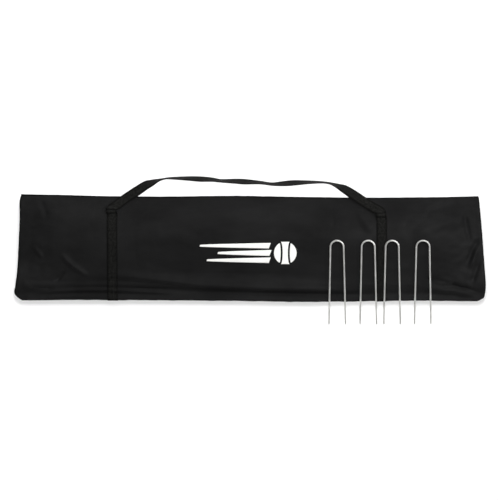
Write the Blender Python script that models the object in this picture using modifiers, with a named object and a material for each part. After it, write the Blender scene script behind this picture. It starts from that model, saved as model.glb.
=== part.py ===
"""Bagged net game set: a long flat carry bag that holds a net and its tube frame, with four U-pegs.

The bag lies on its back panel. +X runs along its length, +Y points to the edge with the zip and the
handle, and +Z is up. The origin is the middle of the back panel's underside.
"""

from math import cos, pi, radians, sin

import bmesh
import bpy
from mathutils import Matrix, Vector

# The bag, in metres
BAG_HALF_LENGTH_LOW = 0.553   # at the bottom edge, -Y
BAG_HALF_LENGTH_HIGH = 0.536  # at the zip edge, +Y
BAG_LOW_Y = -0.123
BAG_HIGH_Y = 0.1225
FABRIC = 0.0012
GAP = 0.0003
# Height of the front panel's outer face across the bag: (y, height)
FULL_PROFILE = (
    (-0.1230, 0.0100),
    (-0.1080, 0.0160),
    (-0.0950, 0.0210),
    (-0.0805, 0.0252),
    (-0.0600, 0.0300),
    (-0.0300, 0.0390),
    (0.0000, 0.0475),
    (0.0250, 0.0530),
    (0.0600, 0.0515),
    (0.0900, 0.0400),
    (0.1100, 0.0285),
    (0.1225, 0.0210),
)
END_PROFILE = (
    (-0.1230, 0.0100),
    (-0.1080, 0.0160),
    (-0.0950, 0.0210),
    (-0.0805, 0.0252),
    (-0.0300, 0.0262),
    (0.0300, 0.0268),
    (0.0805, 0.0262),
    (0.1000, 0.0245),
    (0.1225, 0.0210),
)
END_TAPER = 0.110             # length over which the fill falls away at each end
PANEL_COLUMNS = 30
PANEL_CROWDING = 0.09         # how much closer the front panel's columns stand near its ends
END_WALL_INSET = 0.0010       # from the bag's outline to an end wall's face
END_WALL_TUCK = 1.25 * FABRIC + 2.0 * GAP  # from the front panel's outer face down to an end wall
BOTTOM_WALL_INSET = 0.0005

# The zip, on a wall just inside the front panel's lip
ZIP_Y = 0.1165
ZIP_TAPE = 0.0008
ZIP_HALF_LENGTH = 0.532
ZIP_LOW_Z = 0.0016
ZIP_HIGH_Z = 0.0200
TAPE_END = 0.0080             # tape that runs on past the coil at each end
STOP_INSET = 0.0020           # from a stop's far side to the tape's end
STOP_RISE = 0.0006            # how far a stop stands out past the coil
COIL_SINK = 0.0002            # how far the coil goes in past the tape's back
COIL_CENTRE_Z = 0.0108
COIL_HEIGHT = 0.0044
COIL_DEPTH = 0.0022
SLIDER_X = -0.500
SLIDER_LENGTH = 0.0130
SLIDER_HEIGHT = 0.0096
SLIDER_FACE = 0.0012
PULLER_REACH = 0.0180
PULLER_WIDTH = 0.0056
PULLER_SHEET = 0.0012
PULLER_X = SLIDER_X + 0.25 * SLIDER_LENGTH
PULLER_STANDOFF = 0.0012      # from the slider's face to the puller's pivot
LUG = 0.0013
LUG_ROOT = 0.0004             # how far a lug goes down into the slider's face

# Webbing
WEBBING_HALF = 0.0122
WEBBING = 0.0014
BAND_X = (-0.322, 0.309)
BAND_TOP_Y = (0.0790, 0.0720)
BAND_CLEAR = GAP + 0.5 * WEBBING
BAND_LIFT = 1.2 * BAND_CLEAR  # from the front panel's outer face to the webbing's middle
BAND_BEND_OUT = 0.3 * BAND_CLEAR
BAND_BEND_UP = 1.3 * BAND_CLEAR
BAND_BEND_DOWN = 0.5 * BAND_CLEAR
BAND_LOW_Z = BAND_CLEAR
BAND_FIRST_SPAN = 0.004       # least length of the webbing's top span

# U-pegs
PEG_X = (0.206, 0.279, 0.335, 0.407)
PEG_TIP_Y = -0.1780
PEG_WIRE = 0.0020
PEG_LENGTH = 0.2060
PEG_HALF_TOP = 0.0160
PEG_HALF_TIP = 0.0195
PEG_TILT = radians(16.0)
PEG_FLOAT = 0.0001            # from the floor to the wire at a peg's tips

# What the bag holds
TUBE_RADIUS = 0.0110
TUBE_WALL = 0.0010
TUBE_PITCH = 0.0230
TUBE_COUNT = 8
TUBE_LOW_X = -0.530
TUBE_HIGH_X = 0.400
TUBE_Z = FABRIC + GAP + TUBE_RADIUS
ELBOW_BEND = 0.0200
ELBOW_LEG = 0.0080
ELBOW_SPIGOT = 0.0180
ELBOW_SPIGOT_SCALE = 0.88
ELBOW_STEP = 0.0002           # length over which the elbow steps down to its spigot
ELBOW_CENTRES = ((0.428, -0.080), (0.428, 0.026), (0.484, -0.080), (0.484, 0.026))
NET_LOW = (-0.415, -0.055)
NET_HIGH = (0.415, 0.088)
NET_BASE_Z = TUBE_Z + TUBE_RADIUS + 0.0022
NET_CLEARANCE = 0.0024        # room for the ties between the net and the front panel
TIE_X = (-0.250, 0.250)
TIE_HALF = 0.0100
TIE = 0.0010
TIE_CLEAR = GAP + 0.5 * TIE
TIE_LIFT = 1.35 * TIE_CLEAR   # from the net's roof to the tie's middle

COLLECTION = "bagged_net_game_set"


def clear_scene():
    for obj in list(bpy.data.objects):
        bpy.data.objects.remove(obj, do_unlink=True)


def collection():
    group = bpy.data.collections.new(COLLECTION)
    bpy.context.scene.collection.children.link(group)
    return group


def material(name, colour, roughness, metallic=0.0):
    made = bpy.data.materials.new(name)
    made.use_nodes = True
    shader = made.node_tree.nodes["Principled BSDF"]
    shader.inputs["Base Color"].default_value = (*colour, 1.0)
    shader.inputs["Roughness"].default_value = roughness
    shader.inputs["Metallic"].default_value = metallic
    return made


def add(group, name, data, colour, roughness, metallic=0.0):
    obj = bpy.data.objects.new(name, data)
    group.objects.link(obj)
    obj.data.materials.append(material(name, colour, roughness, metallic))
    return obj


def mesh_from(bm, name):
    bmesh.ops.recalc_face_normals(bm, faces=bm.faces)
    mesh = bpy.data.meshes.new(name)
    bm.to_mesh(mesh)
    bm.free()
    return mesh


BLACK = (0.015, 0.015, 0.016)
NYLON = (0.02, 0.02, 0.02)
NETTING = (0.02, 0.02, 0.025)
PLASTIC = (0.03, 0.03, 0.03)
ZIP_METAL = (0.05, 0.05, 0.05)
STEEL = (0.62, 0.63, 0.64)


def along(knots, t):
    """The value at t of a line through (t, value) knots."""
    for (t0, v0), (t1, v1) in zip(knots, knots[1:]):
        if t <= t1:
            return v0 + (v1 - v0) * (max(t, t0) - t0) / (t1 - t0)
    return knots[-1][1]


def smooth(t):
    t = min(max(t, 0.0), 1.0)
    return t * t * (3.0 - 2.0 * t)


def half_length(y):
    share = (y - BAG_LOW_Y) / (BAG_HIGH_Y - BAG_LOW_Y)
    return BAG_HALF_LENGTH_LOW + (BAG_HALF_LENGTH_HIGH - BAG_HALF_LENGTH_LOW) * share


def top(x, y):
    """Height of the front panel's outer face."""
    fill = smooth((half_length(y) - abs(x)) / END_TAPER)
    low = along(END_PROFILE, y)
    return low + (along(FULL_PROFILE, y) - low) * fill


def strip(rows, columns, place):
    """A grid whose vertex at row share u and column share v stands at place(u, v)."""
    bm = bmesh.new()
    bmesh.ops.create_grid(bm, x_segments=columns, y_segments=rows, size=1.0)
    for vertex in bm.verts:
        u = 0.5 + 0.5 * vertex.co.y
        v = 0.5 + 0.5 * vertex.co.x
        vertex.co = place(u, v)
    return bm


def solidify(obj, thickness, offset):
    shell = obj.modifiers.new("thickness", "SOLIDIFY")
    shell.thickness = thickness
    shell.offset = offset


def seat(obj, origin):
    """Puts the object's origin at a point, on its joint's axis, and leaves its shape where it is."""
    obj.data.transform(Matrix.Translation(-Vector(origin)))
    obj.location = origin
    return obj


def box(group, name, low, high, colour, roughness, metallic=0.0):
    bm = bmesh.new()
    bmesh.ops.create_cube(bm, size=1.0)
    low, high = Vector(low), Vector(high)
    for vertex in bm.verts:
        vertex.co = Vector(low[i] + (high[i] - low[i]) * (vertex.co[i] + 0.5) for i in range(3))
    return add(group, name, mesh_from(bm, name), colour, roughness, metallic)


def front_panel(group):
    ys = sorted({y for y, _ in FULL_PROFILE + END_PROFILE})

    def place(u, v):
        y = ys[round(u * (len(ys) - 1))]
        side = 2.0 * v - 1.0
        x = half_length(y) * (side + PANEL_CROWDING * sin(pi * side))
        return Vector((x, y, top(x, y)))

    mesh = mesh_from(strip(len(ys) - 1, PANEL_COLUMNS, place), "bag_front_panel")
    if mesh.polygons[0].normal.z < 0.0:
        mesh.flip_normals()
    solidify(add(group, "bag_front_panel", mesh, BLACK, 0.6), FABRIC, -1.0)


def back_panel(group):
    bm = bmesh.new()
    bmesh.ops.create_cube(bm, size=1.0)
    for vertex in bm.verts:
        y = BAG_LOW_Y if vertex.co.y < 0.0 else ZIP_Y
        side = 1.0 if vertex.co.x > 0.0 else -1.0
        z = FABRIC if vertex.co.z > 0.0 else 0.0
        vertex.co = Vector((side * half_length(y), y, z))
    add(group, "bag_back_panel", mesh_from(bm, "bag_back_panel"), BLACK, 0.6)


def end_gusset(group, name, side):
    ys = [BAG_LOW_Y + 0.003] + [y for y, _ in END_PROFILE if BAG_LOW_Y < y < ZIP_Y - 0.002]
    ys.append(ZIP_Y - 0.002)
    base = FABRIC + GAP

    def place(u, v):
        y = ys[round(v * (len(ys) - 1))]
        roof = along(END_PROFILE, y) - END_WALL_TUCK
        return Vector((side * (half_length(y) - END_WALL_INSET), y, base + (roof - base) * u))

    mesh = mesh_from(strip(1, len(ys) - 1, place), name)
    if mesh.polygons[0].normal.x * side < 0.0:
        mesh.flip_normals()
    solidify(add(group, name, mesh, BLACK, 0.6), FABRIC, -1.0)


def bottom_gusset(group):
    half = BAG_HALF_LENGTH_LOW - 0.003
    face = BAG_LOW_Y + BOTTOM_WALL_INSET
    low = (-half, face, FABRIC + GAP)
    roof = FULL_PROFILE[0][1] - FABRIC - 2.0 * GAP
    high = (half, face + FABRIC, roof)
    box(group, "bottom_gusset", low, high, BLACK, 0.6)


def zip_fastener(group):
    low_coil = COIL_CENTRE_Z - 0.5 * COIL_HEIGHT
    high_coil = COIL_CENTRE_Z + 0.5 * COIL_HEIGHT
    back, face = ZIP_Y, ZIP_Y + ZIP_TAPE
    half = ZIP_HALF_LENGTH
    box(group, "zip_tape_lower", (-half, back, ZIP_LOW_Z), (half, face, low_coil - GAP), BLACK, 0.7)
    box(group, "zip_tape_upper", (-half, back, high_coil + GAP), (half, face, ZIP_HIGH_Z), BLACK, 0.7)
    coil_half = half - TAPE_END
    coil_low = (-coil_half, back - COIL_SINK, low_coil)
    coil_high = (coil_half, back + COIL_DEPTH, high_coil)
    box(group, "zip_coil", coil_low, coil_high, NYLON, 0.35)
    for name, side in (("zip_stop_left", -1.0), ("zip_stop_right", 1.0)):
        near, far = side * (coil_half + GAP), side * (half - STOP_INSET)
        low = (min(near, far), back, low_coil)
        high = (max(near, far), back + COIL_DEPTH + STOP_RISE, high_coil)
        box(group, name, low, high, ZIP_METAL, 0.35, 1.0)


def modify(body, name, operation, other):
    """A Boolean with a helper solid that isn't a piece of the object."""
    other.hide_render = True
    other.display_type = "WIRE"
    change = body.modifiers.new(name, "BOOLEAN")
    change.operation = operation
    change.object = other


def slider(group):
    """A channel that rides over the coil, with two lugs that hold the puller."""
    helpers = bpy.data.collections.new("cutters")
    bpy.context.scene.collection.children.link(helpers)
    inner = ZIP_Y + ZIP_TAPE + GAP
    crown = ZIP_Y + COIL_DEPTH + GAP
    face = crown + SLIDER_FACE
    half = 0.5 * SLIDER_LENGTH
    low = (SLIDER_X - half, inner, COIL_CENTRE_Z - 0.5 * SLIDER_HEIGHT)
    high = (SLIDER_X + half, face, COIL_CENTRE_Z + 0.5 * SLIDER_HEIGHT)
    body = box(group, "zip_slider", low, high, ZIP_METAL, 0.35, 1.0)
    seat(body, (SLIDER_X, inner, COIL_CENTRE_Z))
    room = 0.5 * COIL_HEIGHT + GAP
    low = (SLIDER_X - SLIDER_LENGTH, inner - ZIP_TAPE, COIL_CENTRE_Z - room)
    high = (SLIDER_X + SLIDER_LENGTH, crown, COIL_CENTRE_Z + room)
    channel = box(helpers, "coil_channel", low, high, BLACK, 0.5)
    modify(body, "coil channel", "DIFFERENCE", channel)
    for name, side in (("lower_lug", -1.0), ("upper_lug", 1.0)):
        near = COIL_CENTRE_Z + side * (0.5 * PULLER_WIDTH + GAP)
        far = near + side * LUG
        low = (PULLER_X - LUG, face - LUG_ROOT, min(near, far))
        high = (PULLER_X + LUG, face + 2.0 * PULLER_STANDOFF, max(near, far))
        modify(body, name, "UNION", box(helpers, name, low, high, BLACK, 0.5))
    return face


def puller(group, face):
    """A flat pull tab that lies along the zip and turns about its pivot between the lugs."""
    thin, wide = 0.5 * PULLER_SHEET, 0.5 * PULLER_WIDTH
    high = (PULLER_REACH, thin, wide)
    tab = box(group, "zip_puller", (-thin, -thin, -wide), high, ZIP_METAL, 0.35, 1.0)
    tab.location = (PULLER_X, face + PULLER_STANDOFF, COIL_CENTRE_Z)


def band(group, name, x, high_y):
    """Webbing sewn down the front panel and over the bottom edge."""
    ys = [high_y] + [y for y, _ in reversed(FULL_PROFILE) if y < high_y - BAND_FIRST_SPAN]
    route = [Vector((x, y, top(x, y) + BAND_LIFT)) for y in ys[:-1]]
    edge = FULL_PROFILE[0][1]
    route.append(Vector((x, BAG_LOW_Y - BAND_BEND_OUT, edge + BAND_BEND_UP)))
    route.append(Vector((x, BAG_LOW_Y - BAND_LIFT, edge - BAND_BEND_DOWN)))
    route.append(Vector((x, BAG_LOW_Y - BAND_LIFT, BAND_LOW_Z)))

    def place(u, v):
        return route[round(u * (len(route) - 1))] + Vector(((2.0 * v - 1.0) * WEBBING_HALF, 0.0, 0.0))

    mesh = mesh_from(strip(len(route) - 1, 1, place), name)
    solidify(add(group, name, mesh, BLACK, 0.7), WEBBING, 0.0)


# The handle's stations: (x, y, height or None where it stands on the floor, yaw, pitch) of the
# direction from its inner to its outer edge, in degrees. It lies flat on the bag at both ends, and
# on its edge between them.
STRAP = (
    (-0.3237, 0.0900, 0.0427, 163.0, -8.0),
    (-0.3090, 0.1020, 0.0366, 136.0, -22.0),
    (-0.2909, 0.1168, 0.0290, 130.0, -24.0),
    (-0.2710, 0.1304, 0.0265, 127.0, -25.0),
    (-0.2437, 0.1469, 0.0215, 121.0, -36.0),
    (-0.2296, 0.1538, 0.0175, 114.0, -53.0),
    (-0.2155, 0.1596, 0.0145, 108.0, -70.0),
    (-0.1980, 0.1637, None, 98.0, -80.0),
    (-0.1450, 0.1641, None, 90.0, -66.0),
    (-0.1100, 0.1624, None, 86.0, -60.0),
    (-0.0780, 0.1602, None, 86.0, -70.0),
    (-0.0250, 0.1574, None, 87.0, -61.0),
    (0.0380, 0.1532, None, 86.0, -72.0),
    (0.0900, 0.1526, None, 92.0, -60.0),
    (0.1370, 0.1552, None, 90.0, -70.0),
    (0.1720, 0.1550, None, 87.0, -78.0),
    (0.1934, 0.1512, 0.0150, 75.0, -75.0),
    (0.2075, 0.1455, 0.0185, 67.0, -60.0),
    (0.2216, 0.1392, 0.0225, 64.0, -41.0),
    (0.2440, 0.1260, 0.0290, 58.0, -27.0),
    (0.2700, 0.1075, 0.0346, 57.0, -26.0),
    (0.2920, 0.0920, 0.0418, 50.0, -21.0),
    (0.3068, 0.0797, 0.0468, 20.0, -9.0),
)
STRAP_PIVOT = (-0.3120, 0.0860, 0.0435)
STRAP_STEPS = 3


def cubic(before, start, end, after, t):
    """A Catmull-Rom span from start to end."""
    bend = 2.0 * before - 5.0 * start + 4.0 * end - after
    twist = 3.0 * start - before - 3.0 * end + after
    return start + 0.5 * t * (end - before + t * (bend + t * twist))


def strap_station(share):
    """Centre and edge direction of the handle at a share of its stations."""
    place = share * (len(STRAP) - 1)
    first = min(int(place), len(STRAP) - 2)
    t = place - first
    rows = []
    for i in (first - 1, first, first + 1, first + 2):
        x, y, z, yaw, pitch = STRAP[min(max(i, 0), len(STRAP) - 1)]
        if z is None:
            z = WEBBING_HALF * abs(sin(radians(pitch))) + 0.5 * WEBBING + GAP
        rows.append((x, y, z, yaw, pitch))
    x, y, z, yaw, pitch = (cubic(*values, t) for values in zip(*rows))
    yaw, pitch = radians(yaw), radians(pitch)
    edge = Vector((cos(pitch) * cos(yaw), cos(pitch) * sin(yaw), sin(pitch)))
    floor = WEBBING_HALF * abs(edge.z) + 0.5 * WEBBING + GAP
    return Vector((x, y, max(z, floor))), edge


def carry_strap(group):
    rows = STRAP_STEPS * (len(STRAP) - 1)

    def place(u, v):
        centre, edge = strap_station(u)
        return centre + edge * WEBBING_HALF * (2.0 * v - 1.0)

    mesh = mesh_from(strip(rows, 2, place), "carry_strap")
    strap = seat(add(group, "carry_strap", mesh, BLACK, 0.7), STRAP_PIVOT)
    solidify(strap, WEBBING, 0.0)


def wire(group, name, points, radius, colour, roughness, metallic=0.0, resolution=2):
    """A round bar through (position, scale) points."""
    curve = bpy.data.curves.new(name, "CURVE")
    curve.dimensions = "3D"
    curve.bevel_depth = radius
    curve.bevel_resolution = resolution
    curve.use_fill_caps = True
    spline = curve.splines.new("POLY")
    spline.points.add(len(points) - 1)
    for point, (position, scale) in zip(spline.points, points):
        point.co = (*position, 1.0)
        point.radius = scale
    return add(group, name, curve, colour, roughness, metallic)


def peg(group, number, x):
    """A U-peg of bent wire: its tips on the floor, its bend on the bag."""
    shoulder = PEG_LENGTH - PEG_WIRE - PEG_HALF_TOP
    points = [(Vector((-PEG_HALF_TIP, 0.0, 0.0)), 1.0)]
    steps = 12
    for i in range(steps + 1):
        angle = pi * (1.0 - i / steps)
        at = Vector((PEG_HALF_TOP * cos(angle), shoulder + PEG_HALF_TOP * sin(angle), 0.0))
        points.append((at, 1.0))
    points.append((Vector((PEG_HALF_TIP, 0.0, 0.0)), 1.0))
    bar = wire(group, f"ground_peg_{number}", points, PEG_WIRE, STEEL, 0.3, 1.0)
    bar.rotation_euler.x = PEG_TILT
    bar.location = (x, PEG_TIP_Y, PEG_WIRE * cos(PEG_TILT) + PEG_FLOAT)


def frame_tube(group, number, y):
    """A tube, turned as the outline of its wall."""
    bm = bmesh.new()
    inner = TUBE_RADIUS - TUBE_WALL
    outline = (
        (TUBE_RADIUS, TUBE_HIGH_X),
        (TUBE_RADIUS, TUBE_LOW_X),
        (inner, TUBE_LOW_X),
        (inner, TUBE_HIGH_X),
    )
    corners = [bm.verts.new((radius, 0.0, height)) for radius, height in outline]
    for first, second in zip(corners, corners[1:] + corners[:1]):
        bm.edges.new((first, second))
    mesh = bpy.data.meshes.new(f"frame_tube_{number}")
    bm.to_mesh(mesh)
    bm.free()
    tube = add(group, f"frame_tube_{number}", mesh, STEEL, 0.35, 1.0)
    turn = tube.modifiers.new("turn", "SCREW")
    turn.steps = 20
    turn.render_steps = 20
    turn.use_merge_vertices = True
    turn.merge_threshold = 0.00001
    tube.rotation_euler.y = 0.5 * pi
    tube.location = (0.0, y, TUBE_Z)


def corner_fitting(group, number, centre):
    """An elbow with a spigot at each end that a frame tube slides over."""
    bend, leg, spigot = ELBOW_BEND, ELBOW_LEG, ELBOW_SPIGOT
    start = Vector((bend + leg + spigot, 0.0, 0.0))
    points = [(start, ELBOW_SPIGOT_SCALE)]
    points.append((Vector((bend + leg + ELBOW_STEP, 0.0, 0.0)), ELBOW_SPIGOT_SCALE))
    points.append((Vector((bend + leg, 0.0, 0.0)), 1.0))
    steps = 5
    for i in range(steps + 1):
        angle = 0.5 * pi * i / steps
        points.append((Vector((bend - bend * sin(angle), bend - bend * cos(angle), 0.0)), 1.0))
    points.append((Vector((0.0, bend + leg, 0.0)), 1.0))
    points.append((Vector((0.0, bend + leg + ELBOW_STEP, 0.0)), ELBOW_SPIGOT_SCALE))
    points.append((Vector((0.0, bend + leg + spigot, 0.0)), ELBOW_SPIGOT_SCALE))
    name = f"corner_fitting_{number}"
    elbow = wire(group, name, points, TUBE_RADIUS, PLASTIC, 0.45)
    elbow.location = (*centre, TUBE_Z)


def net_roof(x, y):
    """Top of the folded net, below the front panel."""
    return top(x, y) - FABRIC - NET_CLEARANCE


def net_pack(group):
    """The folded net: a soft slab that rises from the tubes to the front panel."""
    (x0, y0), (x1, y1) = NET_LOW, NET_HIGH
    ys = [y0] + [y for y, _ in FULL_PROFILE if y0 < y < y1] + [y1]

    def place(u, v):
        x, y = x0 + (x1 - x0) * v, ys[round(u * (len(ys) - 1))]
        return Vector((x, y, net_roof(x, y)))

    bm = strip(len(ys) - 1, 12, place)
    base = bmesh.ops.extrude_face_region(bm, geom=bm.faces[:])
    for item in base["geom"]:
        if isinstance(item, bmesh.types.BMVert):
            item.co.z = NET_BASE_Z
    add(group, "net_pack", mesh_from(bm, "net_pack"), NETTING, 0.9)


def net_tie(group, number, x):
    """A hook-and-loop tie round the folded net."""
    clear = TIE_CLEAR
    (_, y0), (_, y1) = NET_LOW, NET_HIGH
    ys = [y0] + [y for y, _ in FULL_PROFILE if y0 < y < y1] + [y1]
    route = [(y, net_roof(x, y) + TIE_LIFT) for y in ys]
    route[0] = (y0 - clear, route[0][1])
    route[-1] = (y1 + clear, route[-1][1])
    route.append((y1 + clear, NET_BASE_Z - clear))
    route.append((y0 - clear, NET_BASE_Z - clear))
    bm = bmesh.new()
    rings = []
    for side in (-TIE_HALF, TIE_HALF):
        rings.append([bm.verts.new((x + side, y, z)) for y, z in route])
    left, right = rings
    for i in range(len(route)):
        j = (i + 1) % len(route)
        bm.faces.new((left[i], left[j], right[j], right[i]))
    name = f"net_tie_{number}"
    solidify(add(group, name, mesh_from(bm, name), NYLON, 0.8), TIE, 0.0)


def build():
    clear_scene()
    group = collection()
    back_panel(group)
    front_panel(group)
    bottom_gusset(group)
    end_gusset(group, "left_end_gusset", -1.0)
    end_gusset(group, "right_end_gusset", 1.0)
    zip_fastener(group)
    puller(group, slider(group))
    for side, x, high_y in zip(("left", "right"), BAND_X, BAND_TOP_Y):
        band(group, f"webbing_band_{side}", x, high_y)
    carry_strap(group)
    for number, x in enumerate(PEG_X, 1):
        peg(group, number, x)
    for number in range(1, TUBE_COUNT + 1):
        frame_tube(group, number, (number - 0.5 * (TUBE_COUNT + 1)) * TUBE_PITCH)
    for number, centre in enumerate(ELBOW_CENTRES, 1):
        corner_fitting(group, number, centre)
    net_pack(group)
    for number, x in enumerate(TIE_X, 1):
        net_tie(group, number, x)


build()
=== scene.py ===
"""The looks of the bagged net game set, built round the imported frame.

The bag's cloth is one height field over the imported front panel, with its folds added by name. The
webbing, the mark, the binding and the stitches are laid on that cloth. The pegs, the zip's metal and
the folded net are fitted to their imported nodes.
"""

from math import cos, pi, radians, sin

import bmesh
import bpy
import numpy as np
from mathutils import Matrix, Vector, noise
from mathutils.bvhtree import BVHTree


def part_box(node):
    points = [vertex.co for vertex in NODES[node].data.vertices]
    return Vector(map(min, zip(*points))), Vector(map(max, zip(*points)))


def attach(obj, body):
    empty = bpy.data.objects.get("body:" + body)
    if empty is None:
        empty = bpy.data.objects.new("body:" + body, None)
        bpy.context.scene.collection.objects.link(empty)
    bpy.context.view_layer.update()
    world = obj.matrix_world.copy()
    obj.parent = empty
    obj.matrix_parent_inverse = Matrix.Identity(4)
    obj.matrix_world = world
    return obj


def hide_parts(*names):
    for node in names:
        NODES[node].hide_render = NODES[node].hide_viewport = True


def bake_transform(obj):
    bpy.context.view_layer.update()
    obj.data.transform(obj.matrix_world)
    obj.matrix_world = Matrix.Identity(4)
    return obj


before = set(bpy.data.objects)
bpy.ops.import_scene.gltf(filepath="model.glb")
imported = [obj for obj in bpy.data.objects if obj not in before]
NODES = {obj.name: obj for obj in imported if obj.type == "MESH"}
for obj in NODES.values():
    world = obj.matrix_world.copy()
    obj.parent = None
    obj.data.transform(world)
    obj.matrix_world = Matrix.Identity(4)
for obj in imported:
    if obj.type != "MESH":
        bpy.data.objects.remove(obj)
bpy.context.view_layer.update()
PANEL_LOW, PANEL_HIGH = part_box("bag_front_panel")
COIL_LOW, COIL_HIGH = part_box("zip_coil")
ZIP_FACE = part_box("zip_tape_lower")[1].y
CLOTH = 0.0006
WEB = 0.0014
WEB_HALF = 0.0122
DOWN = Vector((0.0, 0.0, -1.0))

# ---------------------------------------------------------------- curves and fields


def flow(knots, t):
    """A smooth curve through (place, value) knots, read at t."""
    at, value = (np.array(column, float) for column in zip(*knots))
    slope = np.gradient(value, at)
    t = np.clip(t, at[0], at[-1])
    i = np.clip(np.searchsorted(at, t) - 1, 0, len(at) - 2)
    width = at[i + 1] - at[i]
    s = (t - at[i]) / width
    rise = s * s * (3.0 - 2.0 * s)
    start = s * (1.0 - s) ** 2 * width * slope[i]
    end = s * s * (s - 1.0) * width * slope[i + 1]
    return value[i] * (1.0 - rise) + value[i + 1] * rise + start + end


def ease(t):
    """A soft step from 0 to 1."""
    t = np.clip(t, 0.0, 1.0)
    return t * t * (3.0 - 2.0 * t)


# The bag's long edges: (x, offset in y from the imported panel's edge)
HIGH_EDGE = (
    (-0.540, 0.0038), (-0.430, 0.0018), (-0.330, -0.0008), (-0.190, -0.0016), (-0.040, 0.0000),
    (0.120, -0.0026), (0.290, -0.0042), (0.400, -0.0034), (0.470, -0.0027), (0.540, -0.0006),
)
LOW_EDGE = (
    (-0.540, 0.0003), (-0.390, 0.0016), (-0.180, 0.0005), (0.000, -0.0011), (0.110, -0.0030),
    (0.220, -0.0021), (0.330, -0.0003), (0.540, -0.0012),
)
# The two ends: (y, x)
LEFT_EDGE = (
    (-0.1235, -0.5330), (-0.1165, -0.5450), (-0.1080, -0.5520), (-0.0880, -0.5504),
    (-0.0600, -0.5466), (-0.0040, -0.5431), (0.0800, -0.5399), (0.1170, -0.5393), (0.1250, -0.5372),
)
RIGHT_EDGE = (
    (-0.1240, 0.5354), (-0.1185, 0.5478), (-0.1070, 0.5524), (-0.0880, 0.5538), (-0.0600, 0.5521),
    (-0.0040, 0.5480), (0.0550, 0.5435), (0.0900, 0.5403), (0.1240, 0.5374),
)


def high_edge(x):
    return PANEL_HIGH.y + flow(HIGH_EDGE, x)


def low_edge(x):
    return PANEL_LOW.y + flow(LOW_EDGE, x)


def left_edge(y):
    return flow(LEFT_EDGE, y)


def right_edge(y):
    return flow(RIGHT_EDGE, y)


def waves(x, y, stretch, size, seed):
    """Smooth noise from -1 to 1, stretched along X."""
    points = np.stack([x / (size * stretch), y / size], axis=-1).reshape(-1, 2)
    made = [noise.noise(Vector((a, b, seed))) for a, b in points]
    return np.array(made).reshape(x.shape)


GROUND_STEP = 0.004
PANEL_TAPER = 0.018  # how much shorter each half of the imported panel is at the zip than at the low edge


def blurred(field, reach):
    """The field after a Gaussian blur of that many cells along both of its sides."""
    steps = np.arange(-3 * reach, 3 * reach + 1)
    kernel = np.exp(-0.5 * (steps / reach) ** 2)
    kernel /= kernel.sum()
    for axis in (0, 1):
        padding = [(0, 0), (0, 0)]
        padding[axis] = (3 * reach, 3 * reach)
        wide = np.pad(field, padding, mode="edge")
        field = np.apply_along_axis(np.convolve, axis, wide, kernel, mode="valid")
    return field


def sampled_ground():
    """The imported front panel's outer face as a grid of heights, with its facets smoothed away."""
    tree = BVHTree.FromObject(NODES["bag_front_panel"], bpy.context.evaluated_depsgraph_get())
    xs = np.arange(PANEL_LOW.x - 0.02, PANEL_HIGH.x + 0.02, GROUND_STEP)
    ys = np.arange(PANEL_LOW.y - 0.012, PANEL_HIGH.y + 0.012, GROUND_STEP)
    heights = np.zeros((len(ys), len(xs)))
    for row, y in enumerate(ys):
        inside = min(max(y, PANEL_LOW.y + 0.0005), PANEL_HIGH.y - 0.0005)
        share = (inside - PANEL_LOW.y) / (PANEL_HIGH.y - PANEL_LOW.y)
        reach = PANEL_HIGH.x - PANEL_TAPER * share - 0.0015
        for column, x in enumerate(xs):
            over = Vector((min(max(x, -reach), reach), inside, 1.0))
            heights[row, column] = tree.ray_cast(over, DOWN)[0].z
    return xs, ys, blurred(heights, 2)


GROUND_XS, GROUND_YS, GROUND = sampled_ground()


def read_field(field, step, x, y):
    """A sampled field's value between its samples."""
    column = np.clip((x - GROUND_XS[0]) / step, 0, field.shape[1] - 1.001)
    row = np.clip((y - GROUND_YS[0]) / step, 0, field.shape[0] - 1.001)
    i, j = row.astype(int), column.astype(int)
    a, b = row - i, column - j
    near = field[i, j] * (1.0 - b) + field[i, j + 1] * b
    far = field[i + 1, j] * (1.0 - b) + field[i + 1, j + 1] * b
    return near * (1.0 - a) + far * a


def ground(x, y):
    """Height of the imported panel, read between its samples."""
    return read_field(GROUND, GROUND_STEP, x, y)


CONTENTS_STEP = 0.002


def sampled_contents():
    """Top of whatever the bag holds, as a grid of heights, zero where the bag is empty."""
    held = ("frame_tube", "corner_fitting", "net_pack", "net_tie")
    depsgraph = bpy.context.evaluated_depsgraph_get()
    trees = [BVHTree.FromObject(node, depsgraph) for name, node in NODES.items() if name.startswith(held)]
    xs = np.arange(GROUND_XS[0], GROUND_XS[-1], CONTENTS_STEP)
    ys = np.arange(GROUND_YS[0], GROUND_YS[-1], CONTENTS_STEP)
    heights = np.zeros((len(ys), len(xs)))
    for row, y in enumerate(ys):
        for column, x in enumerate(xs):
            hits = [tree.ray_cast(Vector((x, y, 1.0)), DOWN)[0] for tree in trees]
            heights[row, column] = max((hit.z for hit in hits if hit), default=0.0)
    spread = heights.copy()
    for shift in ((0, 1), (0, -1), (1, 0), (-1, 0), (1, 1), (-1, -1), (1, -1), (-1, 1)):
        spread = np.maximum(spread, np.roll(heights, shift, axis=(0, 1)))
    return spread


CONTENTS = sampled_contents()
CONTENTS_CLEAR = 0.0011
CONTENTS_SOFTNESS = 0.0008


def over_contents(x, y, height):
    """The cloth, kept off what the bag holds, with a soft change from one to the other."""
    room = height - read_field(CONTENTS, CONTENTS_STEP, x, y) - CONTENTS_CLEAR
    return height - room + 0.5 * (room + np.sqrt(room * room + CONTENTS_SOFTNESS**2))


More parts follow.
